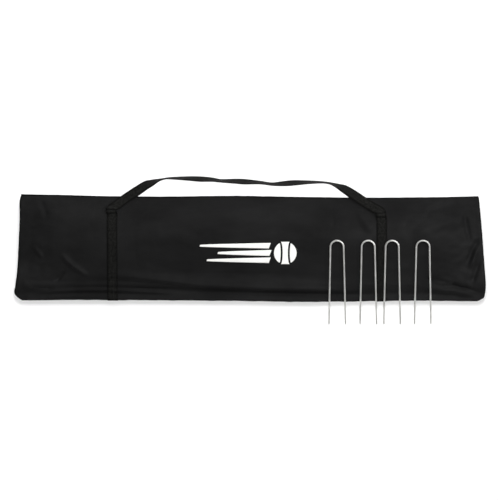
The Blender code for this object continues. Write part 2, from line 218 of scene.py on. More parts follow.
# Folds: route, height, reach to the left of the route, reach to its right, all in metres. A reach given
# as a pair changes from the route's start to its end.
FOLDS = {
    "long ridge": (
        (
            (-0.404, -0.0635), (-0.355, -0.0665), (-0.310, -0.0655), (-0.235, -0.0740),
            (-0.119, -0.0880), (0.024, -0.0950), (0.140, -0.0975), (0.285, -0.1010),
        ),
        0.0033,
        (0.0130, 0.0100),
        (0.0042, 0.0030),
    ),
    "hollow under the ridge": (
        (
            (-0.455, -0.0830), (-0.404, -0.0810), (-0.310, -0.0860), (-0.235, -0.0915),
            (-0.119, -0.1000), (0.024, -0.1050), (0.140, -0.1070), (0.330, -0.1080),
        ),
        -0.0026,
        (0.0110, 0.0035),
        (0.0090, 0.0040),
    ),
    "pinch into the ridge": (((-0.446, -0.014), (-0.414, -0.043), (-0.376, -0.068)), 0.0034, 0.0060, 0.0036),
    "low ridge": (
        ((-0.525, -0.1085), (-0.450, -0.1010), (-0.384, -0.0975), (-0.330, -0.0980), (-0.150, -0.1075)),
        0.0025,
        0.0042,
        0.0034,
    ),
    "hem ridge": (((-0.500, -0.1160), (-0.420, -0.1125), (-0.300, -0.1130)), 0.0012, 0.0035, 0.0035),
    "short crease": (((-0.429, -0.049), (-0.445, -0.066), (-0.464, -0.089)), -0.0026, 0.0035, 0.0050),
    "left crease": (((-0.512, 0.008), (-0.498, -0.008), (-0.484, -0.026)), 0.0020, 0.0060, 0.0035),
    "left hollow": (((-0.530, -0.070), (-0.500, -0.086), (-0.455, -0.090)), -0.0026, 0.0120, 0.0070),
    "upper left crease": (((-0.492, 0.114), (-0.480, 0.090), (-0.474, 0.064)), -0.0018, 0.0060, 0.0070),
    "long hollow": (((-0.190, 0.099), (-0.080, 0.093), (0.050, 0.090)), -0.0012, 0.0060, 0.0070),
    "middle hollow": (
        ((-0.330, -0.030), (-0.150, -0.046), (0.100, -0.066), (0.280, -0.074)),
        -0.0016, 0.016, 0.020,
    ),
    "pull at the handle": (((0.256, 0.100), (0.262, 0.074), (0.290, 0.032)), 0.0029, 0.0100, 0.0110),
    "thin line": (((0.193, 0.104), (0.194, 0.074), (0.196, 0.042)), -0.0011, 0.0035, 0.0035),
    "broad valley": (
        ((0.356, 0.020), (0.380, 0.058), (0.425, 0.085), (0.500, 0.112)),
        -0.0046, 0.0120, 0.0150,
    ),
    "brow of the valley": (((0.376, 0.018), (0.418, 0.052), (0.510, 0.074)), 0.0042, 0.0130, 0.0180),
    "end crease high": (((0.500, 0.092), (0.508, 0.050), (0.520, 0.002)), -0.0024, 0.0070, 0.0060),
    "end crease middle": (((0.541, 0.026), (0.524, -0.004), (0.510, -0.040)), -0.0032, 0.0050, 0.0080),
    "end brow": (((0.536, 0.010), (0.526, -0.020), (0.516, -0.052)), 0.0030, 0.0060, 0.0060),
    "end crease low": (((0.542, -0.024), (0.531, -0.055), (0.518, -0.094)), -0.0030, 0.0050, 0.0080),
    "corner line": (
        ((0.405, -0.070), (0.440, -0.079), (0.495, -0.091), (0.552, -0.105)),
        -0.0030, 0.0050, 0.0034,
    ),
    "corner brow": (((0.400, -0.093), (0.470, -0.101), (0.545, -0.114)), 0.0031, 0.0070, 0.0060),
}


def fold(x, y, route, height, left, right):
    """A ridge, or a crease where height is negative, along a route and fading out at its ends."""
    corners = np.array(route)
    spans = np.linalg.norm(np.diff(corners, axis=0), axis=1)
    starts = np.concatenate([[0.0], np.cumsum(spans)])
    away = np.full(x.shape, 9.0)
    side = np.zeros(x.shape)
    along = np.zeros(x.shape)
    for start, end, span, before in zip(corners, corners[1:], spans, starts):
        step = (end - start) / span
        t = np.clip((x - start[0]) * step[0] + (y - start[1]) * step[1], 0.0, span)
        dx, dy = x - start[0] - t * step[0], y - start[1] - t * step[1]
        distance = np.hypot(dx, dy)
        nearer = distance < away
        away = np.where(nearer, distance, away)
        side = np.where(nearer, step[0] * dy - step[1] * dx, side)
        along = np.where(nearer, before + t, along)
    share = along / starts[-1]
    left, right = (np.interp(share, (0.0, 1.0), np.broadcast_to(reach, 2)) for reach in (left, right))
    reach = np.where(side > 0.0, left, right)
    fade = ease(share / 0.3) * ease((1.0 - share) / 0.3)
    return height * fade * np.exp(-((away / reach) ** 2))


FOLD_DEPTH = 1.7
PEG_LOW, PEG_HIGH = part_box("ground_peg_1")
PEG_THICKNESS = 0.0042
PEG_SLOPE = (PEG_HIGH.z - PEG_THICKNESS) / (PEG_HIGH.y - PEG_LOW.y)
PEGS_LOW_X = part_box("ground_peg_1")[0].x
PEGS_HIGH_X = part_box("ground_peg_4")[1].x
BANDS = {
    "webbing_band_left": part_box("webbing_band_left"),
    "webbing_band_right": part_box("webbing_band_right"),
}


def under_pegs(x, y, height):
    """The cloth gives way under the pegs, and a little more where webbing lies between them."""
    low, high = BANDS["webbing_band_right"]
    room = 0.0004 + 0.0016 * ease(1.0 - (np.abs(x - 0.5 * (low.x + high.x)) - 0.014) / 0.010)
    plane = PEG_SLOPE * (y - PEG_LOW.y) - room
    beside = np.maximum(PEGS_LOW_X - x, x - PEGS_HIGH_X)
    limit = plane + 0.08 * np.clip(beside, 0.0, None) + 0.5 * np.clip(y - PEG_HIGH.y, 0.0, None)
    return np.minimum(height, limit)


HEM_RISE, HEM_WIDTH = 0.0042, 0.016
HEM_DIP, HEM_DIP_PLACE, HEM_DIP_REACH = 0.0012, 0.019, 0.006


def hem(distance):
    """The seam allowance inside the low edge, which stands up as a flat rim with a dip behind it."""
    rim = HEM_RISE * (1.0 - ease(distance / HEM_WIDTH))
    return rim - HEM_DIP * np.exp(-(((distance - HEM_DIP_PLACE) / HEM_DIP_REACH) ** 2))


# Crinkles all over the cloth: rise, how much more they rise at the bag's ends, stretch, size, seed
CRINKLES = ((0.0008, 0.0014, 2.6, 0.034, 1.7), (0.0004, 0.0011, 1.4, 0.013, 5.3))
CRINKLED_ENDS, CRINKLED_OVER = 0.36, 0.16


def cloth_height(x, y):
    """Height of the front cloth, its folds included and its rolled rim left out."""
    height = ground(x, y) + hem(y - low_edge(x))
    for route, rise, left, right in FOLDS.values():
        height = height + fold(x, y, route, FOLD_DEPTH * rise, left, right)
    ends = ease((np.abs(x) - CRINKLED_ENDS) / CRINKLED_OVER)
    for rise, more, stretch, size, seed in CRINKLES:
        height = height + (rise + more * ends) * waves(x, y, stretch, size, seed)
    return over_contents(x, y, under_pegs(x, y, height))


def cloth_at(x, y):
    """Height of the front cloth at one place."""
    return float(cloth_height(np.array([x]), np.array([y]))[0])


def roll(distance, radius):
    """How far a rolled edge has dropped at a distance inside it."""
    inside = radius - np.clip(distance, 0.0, radius)
    return radius - np.sqrt(radius * radius - inside * inside)


LOW_ROLL, END_ROLL, LIP_ROLL = 0.0040, 0.0060, 0.0030


def cloth_surface(x, y):
    """Height of the front cloth with its rolled rim."""
    drop = np.maximum(roll(y - low_edge(x), LOW_ROLL), roll(high_edge(x) - y, LIP_ROLL))
    ends = np.minimum(x - left_edge(y), right_edge(y) - x)
    return cloth_height(x, y) - np.maximum(drop, roll(ends, END_ROLL))


# ---------------------------------------------------------------- meshes


def mesh_piece(name, points, faces, material, smooth=True):
    """An object from point and face arrays, in the frame's own coordinates."""
    mesh = bpy.data.meshes.new(name)
    mesh.from_pydata([tuple(p) for p in points], [], [tuple(f) for f in faces])
    mesh.materials.append(material)
    if smooth:
        mesh.shade_smooth()
    piece = bpy.data.objects.new(name, mesh)
    bpy.context.scene.collection.objects.link(piece)
    return piece


def quads(rows, columns, flip=False):
    """Faces of a grid of rows x columns points."""
    index = np.arange(rows * columns).reshape(rows, columns)
    corners = (index[:-1, :-1], index[:-1, 1:], index[1:, 1:], index[1:, :-1])
    faces = np.stack(corners, axis=-1).reshape(-1, 4)
    return faces[:, ::-1] if flip else faces


def grid_piece(name, points, material, flip=False, lengths=None):
    """A sheet from a rows x columns x 3 array. lengths gives it a weave map in metres."""
    rows, columns = points.shape[:2]
    piece = mesh_piece(name, points.reshape(-1, 3), quads(rows, columns, flip), material)
    if lengths is not None:
        layer = piece.data.uv_layers.new(name="weave")
        index = np.zeros(len(piece.data.loops), int)
        piece.data.loops.foreach_get("vertex_index", index)
        layer.data.foreach_set("uv", lengths.reshape(-1, 2)[index].astype(np.float32).ravel())
    return piece


def face_outwards(piece, close=False):
    """Turns the piece's faces outwards, after closing its open ends if close is set."""
    bm = bmesh.new()
    bm.from_mesh(piece.data)
    if close:
        bmesh.ops.remove_doubles(bm, verts=bm.verts, dist=0.00001)
        bmesh.ops.holes_fill(bm, edges=[edge for edge in bm.edges if edge.is_boundary])
    bmesh.ops.recalc_face_normals(bm, faces=bm.faces)
    bm.to_mesh(piece.data)
    bm.free()


def tube_faces(first, rings, sides):
    """Faces of a closed tube whose rings of points are numbered on from first."""
    faces = []
    for ring in range(rings - 1):
        for k in range(sides):
            a, b = first + ring * sides + k, first + ring * sides + (k + 1) % sides
            faces.append((a, b, b + sides, a + sides))
    last = first + (rings - 1) * sides
    faces.append(tuple(first + k for k in reversed(range(sides))))
    faces.append(tuple(last + k for k in range(sides)))
    return faces


def thicken(piece, thickness, offset=-1.0):
    """Gives a sheet its thickness."""
    shell = piece.modifiers.new("thickness", "SOLIDIFY")
    shell.thickness = thickness
    shell.offset = offset
    return piece


def round_edges(piece, width):
    """Rounds the piece's sharp edges."""
    bevel = piece.modifiers.new("edges", "BEVEL")
    bevel.width = width
    bevel.segments = 2
    bevel.limit_method = "ANGLE"
    bevel.angle_limit = radians(35.0)
    return piece


def crowded(count, strength):
    """Shares from 0 to 1 that stand closer together near both ends."""
    t = np.linspace(0.0, 1.0, count)
    return t - strength * np.sin(2.0 * pi * t) / (2.0 * pi)


# ---------------------------------------------------------------- materials


class Look:
    """A Principled material, put together node by node."""

    def __init__(self, name, colour, roughness, metallic=0.0, specular=0.5, sheen=0.0):
        self.material = bpy.data.materials.new(name)
        self.material.use_nodes = True
        self.nodes = self.material.node_tree.nodes
        self.links = self.material.node_tree.links
        self.shader = self.nodes["Principled BSDF"]
        self.colour = colour
        self.shader.inputs["Base Color"].default_value = (*colour, 1.0)
        self.shader.inputs["Roughness"].default_value = roughness
        self.shader.inputs["Metallic"].default_value = metallic
        self.shader.inputs["Specular IOR Level"].default_value = specular
        self.shader.inputs["Sheen Weight"].default_value = sheen
        self.shader.inputs["Sheen Roughness"].default_value = 0.45
        self.height = None

    def node(self, kind, values=None, **settings):
        made = self.nodes.new(kind)
        for key, value in settings.items():
            setattr(made, key, value)
        for key, value in (values or {}).items():
            if isinstance(value, bpy.types.NodeSocket):
                self.links.new(value, made.inputs[key])
            else:
                made.inputs[key].default_value = value
        return made

    def place(self, stretch=(1.0, 1.0, 1.0), weave_map=False):
        """Object coordinates in metres, or the weave map that follows a ribbon."""
        if weave_map:
            source = self.node("ShaderNodeUVMap", uv_map="weave").outputs["UV"]
        else:
            source = self.node("ShaderNodeTexCoord").outputs["Object"]
        return self.node("ShaderNodeMapping", {"Vector": source, "Scale": stretch}).outputs["Vector"]

    def noise(self, size, stretch=(1.0, 1.0, 1.0), detail=3.0, weave_map=False):
        values = {"Vector": self.place(stretch, weave_map), "Scale": 1.0 / size, "Detail": detail}
        return self.node("ShaderNodeTexNoise", values).outputs["Fac"]

    def bands(self, pitch, axis, weave_map=False, bend=0.0):
        """Even ridges along an axis, at a pitch in metres."""
        values = {
            "Vector": self.place(weave_map=weave_map),
            "Scale": 2.0 * pi / (20.0 * pitch),
            "Distortion": bend,
        }
        return self.node("ShaderNodeTexWave", values, bands_direction=axis).outputs["Fac"]

    def math(self, operation, first, second):
        return self.node("ShaderNodeMath", {0: first, 1: second}, operation=operation).outputs[0]

    def spread(self, value, low, high, start=0.3, end=0.7):
        values = {"Value": value, "From Min": start, "From Max": end, "To Min": low, "To Max": high}
        return self.node("ShaderNodeMapRange", values).outputs["Result"]

    def tint(self, value, low, high):
        """Colour from low to high times the base colour, as value goes from dark to light."""
        share = self.spread(value, 0.0, 1.0)
        dark = (*[channel * low for channel in self.colour], 1.0)
        light = (*[channel * high for channel in self.colour], 1.0)
        mix = self.node("ShaderNodeMix", data_type="RGBA")
        self.links.new(share, mix.inputs["Factor"])
        mix.inputs[6].default_value = dark
        mix.inputs[7].default_value = light
        self.links.new(mix.outputs[2], self.shader.inputs["Base Color"])

    def rough(self, value, low, high):
        self.links.new(self.spread(value, low, high), self.shader.inputs["Roughness"])

    def relief(self, value, depth, strength=1.0):
        """Adds bump of a depth in metres, on top of any bump added before."""
        values = {"Height": value, "Distance": depth, "Strength": strength}
        if self.height is not None:
            values["Normal"] = self.height
        self.height = self.node("ShaderNodeBump", values).outputs["Normal"]
        self.links.new(self.height, self.shader.inputs["Normal"])


def bag_cloth_look():
    look = Look("bag_cloth", (0.0082, 0.0082, 0.0083), 0.50, specular=0.05, sheen=0.01)
    look.tint(look.noise(0.060, (0.5, 1.0, 1.0)), 0.78, 1.30)
    look.rough(look.noise(0.020, detail=5.0), 0.44, 0.60)
    warp = look.bands(0.0009, "X")
    weft = look.bands(0.0009, "Y")
    look.relief(look.math("MULTIPLY", warp, weft), 0.00010, 0.6)
    look.relief(look.noise(0.0060, (0.6, 1.0, 1.0), 4.0), 0.00035, 0.5)
    return look.material


def webbing_look():
    look = Look("webbing", (0.0086, 0.0086, 0.0081), 0.60, specular=0.02, sheen=0.01)
    across = look.node("ShaderNodeSeparateXYZ", {0: look.place(weave_map=True)}).outputs["Y"]
    # Painted shade: the webbing's colour darkens towards both of its edges, on the bands and on the handle.
    edge_shade = look.spread(look.math("ABSOLUTE", across, 0.0), 1.0, 0.25, 0.0078, 0.0102)
    look.tint(look.math("MULTIPLY", look.noise(0.0050, weave_map=True), edge_shade), 0.50, 1.45)
    look.rough(look.noise(0.0060, weave_map=True), 0.52, 0.70)
    ribs = look.bands(0.0021, "X", weave_map=True)
    cords = look.bands(0.0024, "Y", weave_map=True)
    look.relief(look.math("MULTIPLY", ribs, cords), 0.00040, 0.8)
    look.relief(look.noise(0.0008, weave_map=True), 0.00008, 0.6)
    return look.material


def binding_look():
    look = Look("binding_tape", (0.0022, 0.0022, 0.0023), 0.75, specular=0.01, sheen=0.0)
    look.tint(look.noise(0.0080), 0.70, 1.40)
    look.relief(look.bands(0.0011, "X"), 0.00015, 0.8)
    return look.material


def tape_look():
    look = Look("zip_tape", (0.0085, 0.0085, 0.0088), 0.70, specular=0.05, sheen=0.01)
    look.tint(look.noise(0.0050), 0.75, 1.30)
    look.relief(look.bands(0.0007, "X"), 0.00008, 0.7)
    look.relief(look.bands(0.0009, "Z"), 0.00008, 0.7)
    return look.material


def thread_look():
    look = Look("thread", (0.0066, 0.0066, 0.0064), 0.55, specular=0.12, sheen=0.01)
    look.tint(look.noise(0.0012), 0.70, 1.35)
    look.relief(look.bands(0.0005, "DIAGONAL"), 0.00006, 0.7)
    return look.material


def print_look():
    look = Look("print_ink", (0.86, 0.86, 0.83), 0.50, specular=0.35)
    look.tint(look.noise(0.0035, detail=6.0), 0.94, 1.02)
    look.rough(look.noise(0.0080), 0.42, 0.58)
    warp = look.bands(0.0009, "X")
    weft = look.bands(0.0009, "Y")
    look.relief(look.math("MULTIPLY", warp, weft), 0.00004, 0.5)
    return look.material


def zinc_look():
    look = Look("zinc_wire", (0.74, 0.74, 0.715), 0.42, metallic=0.85)
    look.tint(look.noise(0.0100, (1.0, 0.35, 1.0), 5.0), 0.80, 1.10)
    look.rough(look.noise(0.0030, (1.0, 0.2, 1.0), 5.0), 0.34, 0.50)
    look.relief(look.noise(0.0007, (1.0, 0.15, 1.0)), 0.00003, 0.5)
    return look.material


def coil_look():
    look = Look("nylon_coil", (0.0090, 0.0090, 0.0095), 0.32, specular=0.45)
    look.tint(look.noise(0.0040), 0.80, 1.25)
    look.rough(look.noise(0.0020), 0.26, 0.40)
    return look.material


def black_metal_look():
    look = Look("black_plate", (0.030, 0.030, 0.032), 0.34, metallic=0.85)
    look.tint(look.noise(0.0030, detail=5.0), 0.75, 1.5)
    look.rough(look.noise(0.0016, detail=5.0), 0.26, 0.48)
    look.relief(look.noise(0.0006), 0.00002, 0.5)
    return look.material


def powder_coat_look():
    look = Look("powder_coat", (0.020, 0.020, 0.021), 0.48, specular=0.5)
    look.tint(look.noise(0.0400, detail=4.0), 0.85, 1.2)
    look.rough(look.noise(0.0050), 0.40, 0.56)
    look.relief(look.noise(0.0009, detail=4.0), 0.00004, 0.7)
    return look.material


def moulded_look():
    look = Look("moulded_plastic", (0.018, 0.018, 0.019), 0.46, specular=0.5)
    look.tint(look.noise(0.0200), 0.88, 1.15)
    look.rough(look.noise(0.0040), 0.38, 0.54)
    look.relief(look.noise(0.0005, detail=5.0), 0.00003, 0.8)
    return look.material


def netting_look():
    look = Look("netting", (0.012, 0.012, 0.014), 0.82, specular=0.2, sheen=0.1)
    strands = look.math("MAXIMUM", look.bands(0.018, "X", bend=1.5), look.bands(0.018, "Y", bend=1.5))
    look.tint(strands, 0.55, 1.8)
    look.relief(strands, 0.0009, 0.9)
    look.relief(look.noise(0.0015, detail=5.0), 0.0003, 0.8)
    return look.material


def tie_look():
    look = Look("hook_and_loop", (0.010, 0.010, 0.011), 0.9, specular=0.15, sheen=0.2)
    look.tint(look.noise(0.0015, detail=6.0), 0.6, 1.6)
    look.relief(look.noise(0.0009, detail=6.0), 0.0003, 0.9)
    return look.material


def floor_look():
    look = Look("studio_floor", (0.92, 0.92, 0.92), 0.85, specular=0.0)
    return look.material


CLOTH_LOOK = bag_cloth_look()
WEBBING_LOOK = webbing_look()
BINDING_LOOK = binding_look()
TAPE_LOOK = tape_look()
THREAD_LOOK = thread_look()
PRINT_LOOK = print_look()
ZINC_LOOK = zinc_look()
COIL_LOOK = coil_look()
BLACK_METAL_LOOK = black_metal_look()
POWDER_LOOK = powder_coat_look()
MOULDED_LOOK = moulded_look()
NETTING_LOOK = netting_look()
TIE_LOOK = tie_look()

# ---------------------------------------------------------------- the bag's cloth


def front_panel():
    """The front cloth, laid out on the bag's outline."""
    rows, columns = 104, 420
    v, u = np.meshgrid(crowded(columns, 0.55), crowded(rows, 0.72))
    y = low_edge(0.0) + (high_edge(0.0) - low_edge(0.0)) * u
    for _ in range(3):
        x = left_edge(y) + (right_edge(y) - left_edge(y)) * v
        y = low_edge(x) + (high_edge(x) - low_edge(x)) * u
    points = np.stack([x, y, cloth_surface(x, y)], axis=-1)
    panel = thicken(grid_piece("front_cloth", points, CLOTH_LOOK), CLOTH)
    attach(panel, "bag")
    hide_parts("bag_front_panel")


BACK_INSET = 0.0015


def back_panel():
    """The back cloth, flat on the floor, with a rim that turns up towards the sides."""
    rows, columns = 44, 240
    v, u = np.meshgrid(crowded(columns, 0.5), crowded(rows, 0.6))
    zip_edge = ZIP_FACE + 0.001
    y = np.full(u.shape, 0.0)
    x = np.zeros(u.shape)
    for _ in range(3):
        low = low_edge(x) + BACK_INSET
        y = low + (zip_edge - low) * u
        left, right = left_edge(y) + BACK_INSET, right_edge(y) - BACK_INSET
        x = left + (right - left) * v
    inside = np.minimum.reduce([x - left, right - x, y - low_edge(x) - BACK_INSET, zip_edge - y])
    z = CLOTH + 0.0014 * (1.0 - ease(inside / 0.010))
    points = np.stack([x, y, z], axis=-1)
    panel = thicken(grid_piece("back_cloth", points, CLOTH_LOOK), CLOTH)
    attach(panel, "bag")
    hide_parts("bag_back_panel")


GUSSET_INSET = 0.0012
GUSSET_FOOT = 0.0007
GUSSET_BULGE = 0.0014
CORNER_RUN = (0.514, 0.531)  # where an end wall starts and stops along the low edge
CORNER_TURN = 0.012          # over which it turns to face the bag's end
ZIP_CORNER_RADIUS = 0.0045


def gusset(name, node, route, seed):
    """A side wall that follows a plan route, from the floor up under the rolled rim.

    The route's rows are x, y, the wall's top height, and the outward direction's x and y.
    """
    steps = 9
    rows = []
    x, y, roof, out_x, out_y = route.T
    crinkle = waves(x, y, 1.0, 0.022, seed)
    for i in range(steps):
        u = i / (steps - 1)
        bulge = GUSSET_BULGE * sin(pi * u) * (1.0 + 0.8 * crinkle)
        z = GUSSET_FOOT + (roof - GUSSET_FOOT) * u
        rows.append(np.stack([x + out_x * bulge, y + out_y * bulge, z], axis=-1))
    points = np.array(rows)
    ahead = np.gradient(points[0], axis=0)
    facing = (ahead[:, 1] * out_x - ahead[:, 0] * out_y).sum()
    wall = thicken(grid_piece(name, points, CLOTH_LOOK, flip=facing < 0.0), CLOTH)
    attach(wall, "bag")
    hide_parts(node)


def bottom_gusset():
    """The wall under the low edge."""
    x = np.linspace(-0.536, 0.536, 260)
    y = low_edge(x) + GUSSET_INSET
    roof = cloth_height(x, y) - LOW_ROLL + 0.0008
    still = np.zeros(x.shape)
    gusset("bottom_side", "bottom_gusset", np.stack([x, y, roof, still, still - 1.0], axis=-1), 3.1)


def end_gusset(name, node, side):
    """An end wall, which turns both of the bag's corners."""
    edge = left_edge if side < 0.0 else right_edge
    low_x = side * np.linspace(*CORNER_RUN, 8)
    low_y = low_edge(low_x) + GUSSET_INSET + 0.0003
    low_roof = cloth_height(low_x, low_y) - LOW_ROLL + 0.0008
    still = np.zeros(low_x.shape)
    start = np.stack([low_x, low_y, low_roof, still, still - 1.0], axis=-1)
    y = np.linspace(low_y[-1] + 0.0006, ZIP_FACE - 0.004, 90)
    x = edge(y) - side * GUSSET_INSET
    roof = cloth_height(x - side * 0.002, y) - END_ROLL + 0.0010
    roof = np.minimum(roof, cloth_height(x - side * 0.002, y + 0.004) - 0.002)
    facing = 0.5 * pi * ease((y - low_y[-1]) / CORNER_TURN)
    out_x, out_y = side * np.sin(facing), -np.cos(facing)
    route = np.concatenate([start, np.stack([x, y, roof, out_x, out_y], axis=-1)])
    turn = []
    for angle in np.linspace(0.15, 0.5 * pi, 7):
        corner_x = x[-1] - side * ZIP_CORNER_RADIUS * (1.0 - cos(angle))
        corner_y = y[-1] + ZIP_CORNER_RADIUS * sin(angle)
        turn.append((corner_x, corner_y, roof[-1] - 0.001, side * cos(angle), sin(angle)))
    end_x, end_y = turn[-1][0] - side * 0.006, turn[-1][1]
    turn.append((end_x, end_y, roof[-1] - 0.001, 0.0, 1.0))
    gusset(name, node, np.concatenate([route, np.array(turn)]), 7.7 + side)


def lip_binding():
    """The narrow tape that binds the front cloth's edge above the zip, folded over it from outside."""
    x = np.linspace(-0.5375, 0.5362, 300)
    y = high_edge(x)
    rim = cloth_height(x, y) - LIP_ROLL
    reach = 0.0008 + 0.0004 * waves(x, y, 1.0, 0.020, 2.2)
    cover = 0.0019 * np.clip(0.85 + 0.6 * waves(x, y, 1.0, 0.060, 6.1), 0.25, 1.0)
    rings = []
    for share in (1.0, 0.7, 0.4, 0.15):
        inner = y - cover * share
        rings.append(np.stack([x, inner, cloth_surface(x, inner) + 0.00025], axis=-1))
    outs, ups = (0.0, 1.0, 1.0, 0.0, -1.6, -2.0), (0.0009, 0.0002, -0.0014, -0.0022, -0.0018, 0.0)
    for out, up in zip(outs, ups):
        rings.append(np.stack([x, y + reach * out, rim + up], axis=-1))
    rings.append(rings[0])
    tape = grid_piece("lip_binding", np.array(rings), BINDING_LOOK)
    face_outwards(tape, close=True)
    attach(tape, "bag")


PIPING = 0.0012


def end_piping(name, edge, side):
    """The bound seam between the front cloth and an end wall."""
    y = np.linspace(PANEL_LOW.y + 0.010, high_edge(side * 0.53) - 0.0008, 110)
    x = edge(y) - side * (0.0008 + 0.0010 * ease((y - y[-1] + 0.004) / 0.004))
    z = cloth_surface(x, np.minimum(y, y[-1] - 0.003)) + 0.0001
    points = np.stack([x, y, z], axis=-1)
    radii = PIPING * (1.0 + 0.08 * waves(x, y, 1.0, 0.006, 4.4))
    radii[0] = radii[-1] = 0.4 * PIPING
    made, faces = swept(points, radii, 10)
    cord = mesh_piece(name, made, faces, BINDING_LOOK)
    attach(cord, "bag")


# ---------------------------------------------------------------- stitches

STITCH_PITCH = 0.0042
STITCH_LENGTH = 0.0030
STITCH_RADIUS = 0.00038


def stitches(name, routes, up, body="bag"):
    """Rows of short thread stitches along routes of points. up is the direction off the cloth."""
    rings = ((-0.50, 0.45, -0.6), (-0.34, 1.0, 0.25), (0.34, 1.0, 0.25), (0.50, 0.45, -0.6))
    sides = 6
    points, faces = [], []
    up = np.array(up, float)
    for route in routes:
        route = np.asarray(route, float)
        spans = np.linalg.norm(np.diff(route, axis=0), axis=1)
        at = np.concatenate([[0.0], np.cumsum(spans)])
        count = max(int(at[-1] / STITCH_PITCH), 1)
        for i in range(count):
            middle = (i + 0.5) * at[-1] / count
            ends = [
                np.array([np.interp(middle + d * STITCH_LENGTH, at, route[:, k]) for k in range(3)])
                for d in (-0.5, 0.5)
            ]
            ahead = ends[1] - ends[0]
            ahead /= max(np.linalg.norm(ahead), 1e-9)
            across = np.cross(up, ahead)
            across /= max(np.linalg.norm(across), 1e-9)
            lift = np.cross(ahead, across)
            centre = 0.5 * (ends[0] + ends[1])
            first = len(points)
            for share, scale, rise in rings:
                hub = centre + ahead * share * STITCH_LENGTH + lift * rise * STITCH_RADIUS
                for k in range(sides):
                    angle = 2.0 * pi * k / sides
                    around = across * cos(angle) + lift * sin(angle)
                    points.append(hub + around * STITCH_RADIUS * scale)
            faces += tube_faces(first, len(rings), sides)
    thread = mesh_piece(name, points, faces, THREAD_LOOK)
    face_outwards(thread)
    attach(thread, body)


# ---------------------------------------------------------------- webbing

BAND_CLEAR = 0.0002


def band_point(x, y_start, distance):
    """A point on the middle of the webbing, a distance along it from its top end."""
    edge = float(low_edge(x))
    bend_y = edge + LOW_ROLL
    flat = y_start - bend_y
    lift = 0.5 * WEB + BAND_CLEAR
    if distance <= flat:
        y = y_start - distance
        return (x, y, cloth_at(x, y) + lift)
    crown = cloth_at(x, bend_y)
    radius = LOW_ROLL + lift
    angle = (distance - flat) / radius
    if angle <= 0.5 * pi:
        return (x, bend_y - radius * sin(angle), crown - LOW_ROLL + radius * cos(angle))
    down = (angle - 0.5 * pi) * radius
    return (x, bend_y - radius, max(crown - LOW_ROLL - down, 0.5 * WEB))


BAND_ACROSS = 9


def webbing_band(side, extra_lines):
    """A band down the front and over the low edge, with a sewn box at its top end."""
    node = f"webbing_band_{side}"
    low, high = BANDS[node]
    middle, top = 0.5 * (low.x + high.x), high.y
    length = top - PANEL_LOW.y + 0.0085
    distances = np.arange(0.0, length, 0.0022)
    rows, lengths = [], []
    for distance in distances:
        row, marks = [], []
        for k in range(BAND_ACROSS):
            offset = WEB_HALF * (2.0 * k / (BAND_ACROSS - 1) - 1.0)
            row.append(band_point(middle + offset, top, distance))
            marks.append((distance, offset))
        rows.append(row)
        lengths.append(marks)
    band = grid_piece(f"band_{side}", np.array(rows), WEBBING_LOOK, lengths=np.array(lengths))
    thicken(band, WEB, 0.0)
    round_edges(band, 0.0004)
    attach(band, "bag")
    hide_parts(node)

    run = top - float(low_edge(middle)) - LOW_ROLL

    def line(first, second, count=16):
        """Spots on the band's face between two of its (offset, distance) places."""
        places = np.linspace(first, second, count)
        spots = [band_point(middle + offset, top, distance) for offset, distance in places]
        return np.array(spots) + np.array((0.0, 0.0, 0.5 * WEB))

    def line_down(offset, start):
        return line((offset, start), (offset, run), max(int((run - start) / 0.002), 2))

    inset = WEB_HALF - 0.0020
    box_top, box_low = 0.0050, 0.0360
    routes = [line_down(-inset, box_top), line_down(inset, box_top)]
    routes += [line_down(offset, box_low) for offset in extra_lines]
    corners = ((-inset, box_top), (inset, box_top), (inset, box_low), (-inset, box_low))
    for first, second in ((0, 1), (2, 3), (0, 2), (1, 3)):
        routes.append(line(corners[first], corners[second]))
    stitches(f"band_stitches_{side}", routes, (0.0, 0.0, 1.0))


